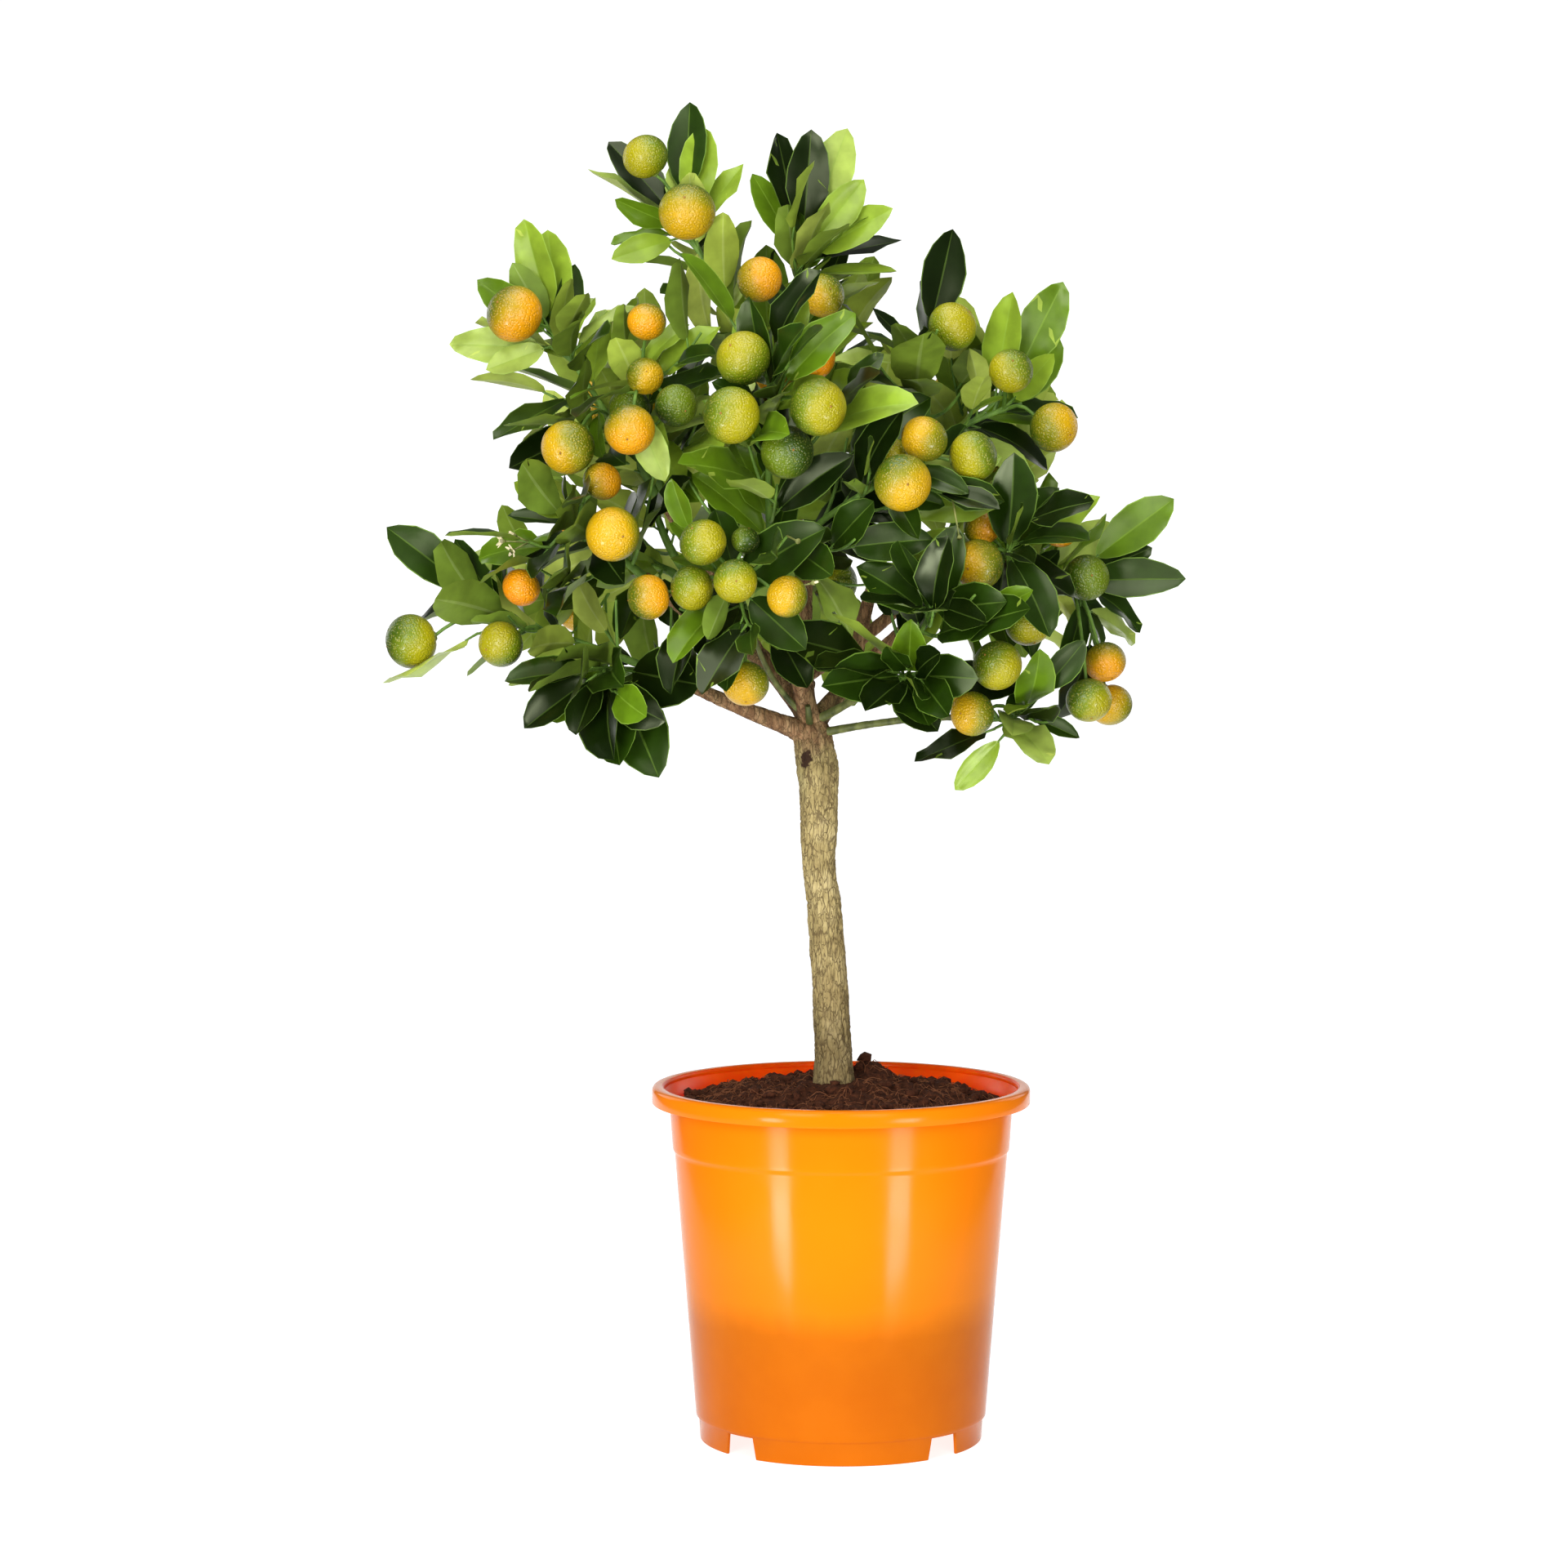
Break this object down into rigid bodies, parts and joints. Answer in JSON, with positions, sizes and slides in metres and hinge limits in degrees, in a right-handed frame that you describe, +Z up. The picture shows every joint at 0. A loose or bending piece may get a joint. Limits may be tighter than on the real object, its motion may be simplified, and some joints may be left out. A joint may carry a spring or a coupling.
{
  "type": "potted calamondin orange tree",
  "caption": "Small standard calamondin orange tree: a bare bent stem under a loose round head of glossy leaves and small round fruit, standing in a tapered plastic nursery pot filled with soil.",
  "frame": {"origin": "middle of the whole plant's box, on the level that the pot stands on", "axes": "+Z up, +X to the right and +Y away as the plant is seen from the front"},
  "size_m": [0.4386, 0.3818, 0.7399],
  "materials": {
    "pot": "glossy orange moulded plastic",
    "soil": "moist dark peat and coir",
    "bark": "matt tan bark with fine dark cracks",
    "foliage": "glossy green leaves, with orange to green fruit"
  },
  "bodies": {
    "root": {"pot": "pot", "soil": "soil", "trunk": "bark", "bough_left": "bark", "bough_centre": "bark", "bough_slender": "bark", "bough_green": "bark", "bough_low": "bark", "bough_right": "bark", "bough_back": "bark", "bough_left_upper": "bark", "bough_top": "bark", "bough_right_upper": "bark", "bough_left_mid": "bark", "bough_back_left": "bark", "bough_back_right": "bark", "foliage_far_left": "foliage", "foliage_low_left": "foliage", "foliage_left_mid": "foliage", "foliage_left_upper": "foliage", "foliage_left_front": "foliage", "foliage_spire_left": "foliage", "foliage_spire_right": "foliage", "foliage_centre_upper": "foliage", "foliage_centre_right": "foliage", "foliage_centre_front": "foliage", "foliage_front_right": "foliage", "foliage_front_low": "foliage", "foliage_low_right": "foliage", "foliage_far_right": "foliage", "foliage_right_front": "foliage", "foliage_right_upper": "foliage", "foliage_right_top": "foliage", "foliage_back_low": "foliage", "foliage_back_high": "foliage", "foliage_back_left": "foliage", "foliage_back_left_high": "foliage", "foliage_back_right": "foliage", "foliage_back_right_high": "foliage"}
  },
  "joints": []
}
